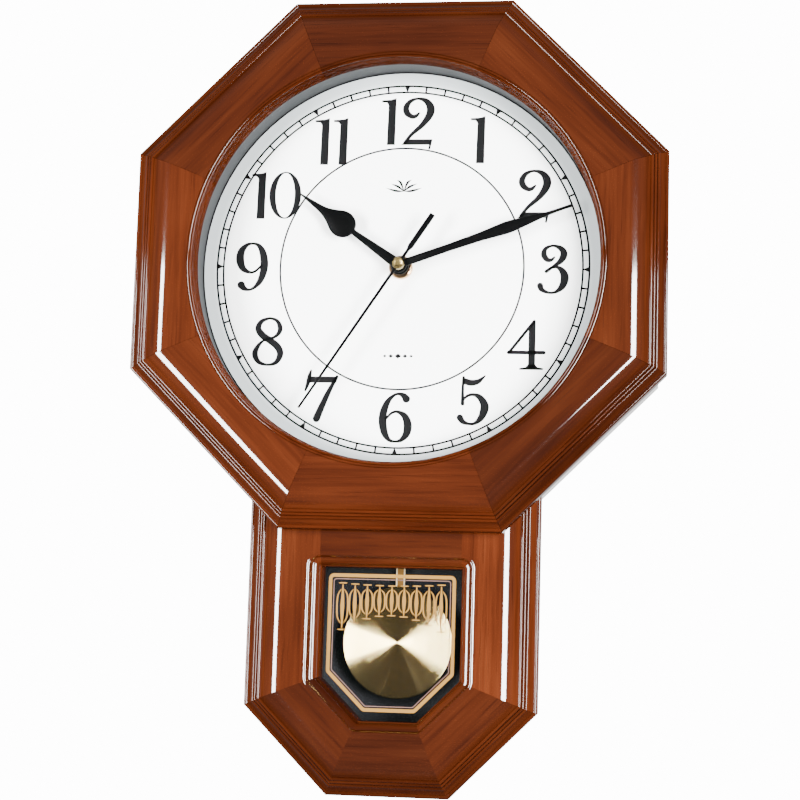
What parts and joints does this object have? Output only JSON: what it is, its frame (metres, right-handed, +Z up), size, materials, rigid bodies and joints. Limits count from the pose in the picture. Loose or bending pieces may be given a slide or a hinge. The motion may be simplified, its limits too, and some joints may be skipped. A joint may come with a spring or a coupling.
{
  "type": "wall clock",
  "caption": "Octagonal wooden wall clock with a round dial, quartz hands and a pendulum behind a glazed drop window.",
  "frame": {"origin": "the point on the wall plane where the hook carries the clock, on its vertical centre line", "axes": "+Z up, +Y into the wall, so the dial faces -Y, and +X to the right of someone reading the dial"},
  "size_m": [0.32, 0.086, 0.4747],
  "materials": {
    "stained_wood": "glossy lacquer over reddish-brown stain",
    "fibreboard": "plain pressed board",
    "zinc_steel": "zinc-plated sheet and wire",
    "rubber": "soft black rubber",
    "clear_glass": "clear polished glass",
    "grey_plastic": "satin grey moulding",
    "dial_white": "matt white paint with black printing",
    "black_liner": "matt black flocked lining",
    "black_plastic": "satin black moulding",
    "nylon": "natural nylon moulding",
    "polished_brass": "turned and polished brass",
    "circuit_green": "green solder mask",
    "copper_wire": "enamelled copper winding",
    "cell_jacket": "plain printed sleeve",
    "black_enamel": "satin black enamel"
  },
  "bodies": {
    "case": {"bezel_rail_top": "stained_wood", "bezel_rail_upper_right": "stained_wood", "bezel_rail_right": "stained_wood", "bezel_rail_lower_right": "stained_wood", "bezel_rail_bottom": "stained_wood", "bezel_rail_lower_left": "stained_wood", "bezel_rail_left": "stained_wood", "bezel_rail_upper_left": "stained_wood", "drop_stile_left": "stained_wood", "drop_stile_right": "stained_wood", "drop_rail_top": "stained_wood", "drop_rail_lower_left": "stained_wood", "drop_rail_bottom": "stained_wood", "drop_rail_lower_right": "stained_wood", "head_case": "stained_wood", "drop_case": "stained_wood", "head_backboard": "fibreboard", "drop_backboard": "fibreboard", "hanger_plate": "zinc_steel", "hanger_screw_left": "zinc_steel", "hanger_screw_right": "zinc_steel", "backboard_screw_1": "zinc_steel", "backboard_screw_2": "zinc_steel", "backboard_screw_3": "zinc_steel", "backboard_screw_4": "zinc_steel", "dial_clip_left": "zinc_steel", "dial_clip_right": "zinc_steel", "stator": "zinc_steel", "quartz_crystal": "zinc_steel", "battery_contact_positive": "zinc_steel", "battery_contact_negative": "zinc_steel", "wall_pad_left": "rubber", "wall_pad_right": "rubber", "rubber_washer": "rubber", "dial_glass": "clear_glass", "window_glass": "clear_glass", "dial_spacer_ring": "grey_plastic", "dial_plate": "dial_white", "chamber_liner": "black_liner", "movement_case_front": "black_plastic", "movement_case_back": "black_plastic", "train_bridge": "nylon", "bush_nut": "polished_brass", "circuit_board": "circuit_green", "drive_coil": "copper_wire", "battery": "cell_jacket"},
    "minute": {"minute_hand": "black_enamel", "centre_pipe": "polished_brass"},
    "centre": {"centre_wheel": "polished_brass"},
    "hour": {"hour_hand": "black_enamel", "hour_wheel": "polished_brass"},
    "second": {"second_hand": "black_enamel", "second_wheel": "nylon"},
    "third": {"third_wheel": "nylon"},
    "motion": {"motion_wheel": "nylon"},
    "setting": {"setting_knob": "nylon"},
    "intermediate": {"intermediate_wheel": "nylon"},
    "rotor": {"rotor": "zinc_steel"},
    "pendulum": {"pendulum_rod": "polished_brass", "pendulum_bob": "polished_brass"}
  },
  "joints": [
    {"name": "minute_turn", "type": "hinge", "parent": "case", "child": "minute", "pos_m": [0, -0.04, -0.12], "axis": [0, 1, 0], "continuous": true},
    {"name": "hour_turn", "type": "hinge", "parent": "case", "child": "hour", "pos_m": [0, -0.04, -0.12], "axis": [0, 1, 0], "continuous": true},
    {"name": "second_turn", "type": "hinge", "parent": "case", "child": "second", "pos_m": [0, -0.04, -0.12], "axis": [0, 1, 0], "continuous": true},
    {"name": "centre_turn", "type": "hinge", "parent": "case", "child": "centre", "pos_m": [0, -0.04, -0.12], "axis": [0, 1, 0], "continuous": true},
    {"name": "third_turn", "type": "hinge", "parent": "case", "child": "third", "pos_m": [0.0136, -0.04, -0.12], "axis": [0, 1, 0], "continuous": true},
    {"name": "motion_turn", "type": "hinge", "parent": "case", "child": "motion", "pos_m": [0.00707, -0.04, -0.11293], "axis": [0, 1, 0], "continuous": true},
    {"name": "setting_turn", "type": "hinge", "parent": "case", "child": "setting", "pos_m": [0.01414, -0.04, -0.10586], "axis": [0, 1, 0], "continuous": true},
    {"name": "intermediate_turn", "type": "hinge", "parent": "case", "child": "intermediate", "pos_m": [-0.0136, -0.04, -0.12], "axis": [0, 1, 0], "continuous": true},
    {"name": "rotor_turn", "type": "hinge", "parent": "case", "child": "rotor", "pos_m": [-0.01926, -0.04, -0.11434], "axis": [0, 1, 0], "continuous": true},
    {"name": "pendulum_swing", "type": "hinge", "parent": "case", "child": "pendulum", "pos_m": [0, -0.013, -0.108], "axis": [0, 1, 0], "range_deg": [-2.5, 2.5]}
  ],
  "couplings": [
    {"joint": "hour_turn", "follows": "minute_turn", "ratio": 0.083333},
    {"joint": "motion_turn", "follows": "minute_turn", "ratio": -0.33333},
    {"joint": "setting_turn", "follows": "minute_turn", "ratio": 1},
    {"joint": "centre_turn", "follows": "second_turn", "ratio": 0.016667},
    {"joint": "third_turn", "follows": "second_turn", "ratio": -0.13333},
    {"joint": "intermediate_turn", "follows": "second_turn", "ratio": -7.5},
    {"joint": "rotor_turn", "follows": "second_turn", "ratio": 30}
  ]
}
